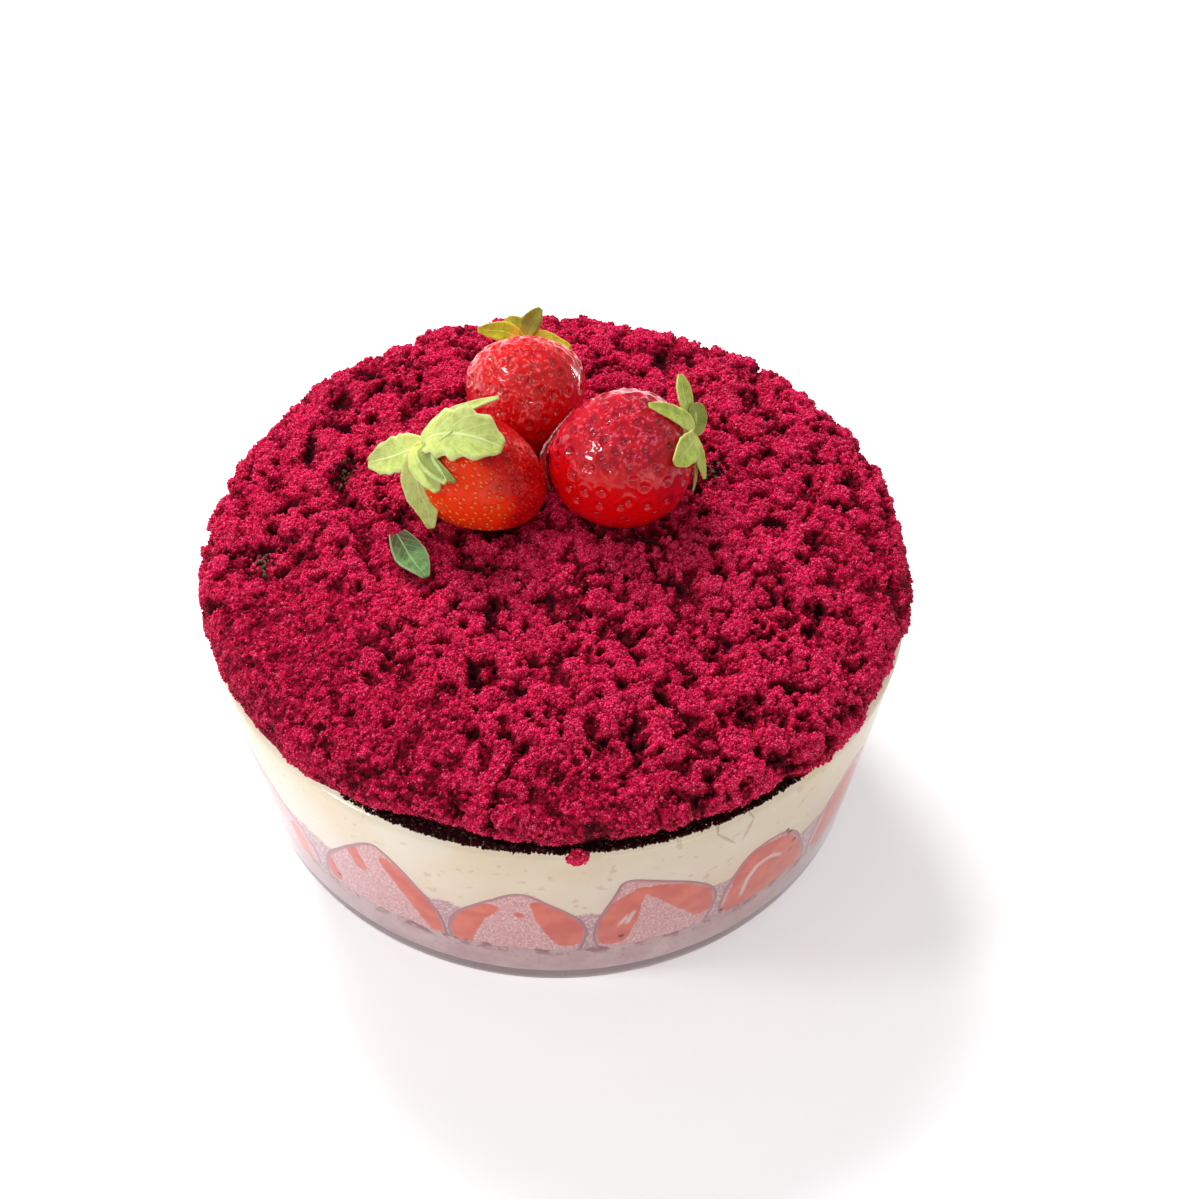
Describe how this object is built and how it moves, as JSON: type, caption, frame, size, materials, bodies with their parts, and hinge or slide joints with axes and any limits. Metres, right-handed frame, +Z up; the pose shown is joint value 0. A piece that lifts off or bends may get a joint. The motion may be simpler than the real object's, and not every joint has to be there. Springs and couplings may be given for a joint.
{
  "type": "red velvet cake in a glass dish",
  "caption": "Layered red velvet cake in a round clear dish: cream and halved strawberries at the wall, a domed crumb top and glazed strawberries.",
  "frame": {"origin": "centre of the dish's flat foot, on the surface that it stands on", "axes": "+Z up through the cake; the front of the cake, as pictured, faces -Y and +X is to its right"},
  "size_m": [0.1629, 0.1653, 0.1077],
  "materials": {
    "glass": "clear pressed glass, smooth and polished",
    "soaked_sponge": "soaked pinkish-mauve crumb, wet against the glass",
    "cream": "smooth ivory cream with faint smears, satin",
    "cut_strawberry": "wet cut fruit, coral flesh with a pale pink core",
    "velvet_crumb": "dry crimson cake crumb in clumps with dark pits",
    "glazed_strawberry": "red fruit under clear wet glaze, pale seeds",
    "sepals": "thin yellow-green sepals, veined, matt",
    "leaf": "thin bluish-green leaf with a paler edge, matt"
  },
  "bodies": {
    "root": {"glass_dish": "glass", "sponge_base": "soaked_sponge", "cream": "cream", "berry_half_01": "cut_strawberry", "berry_half_02": "cut_strawberry", "berry_half_03": "cut_strawberry", "berry_half_04": "cut_strawberry", "berry_half_05": "cut_strawberry", "berry_half_06": "cut_strawberry", "berry_half_07": "cut_strawberry", "berry_half_08": "cut_strawberry", "berry_half_09": "cut_strawberry", "berry_half_10": "cut_strawberry", "berry_half_11": "cut_strawberry", "berry_half_12": "cut_strawberry", "berry_half_13": "cut_strawberry", "berry_half_14": "cut_strawberry", "berry_half_15": "cut_strawberry", "crumb": "velvet_crumb", "strawberry_left": "glazed_strawberry", "calyx_left": "sepals", "strawberry_back": "glazed_strawberry", "calyx_back": "sepals", "strawberry_right": "glazed_strawberry", "calyx_right": "sepals", "loose_leaf": "leaf"}
  },
  "joints": []
}
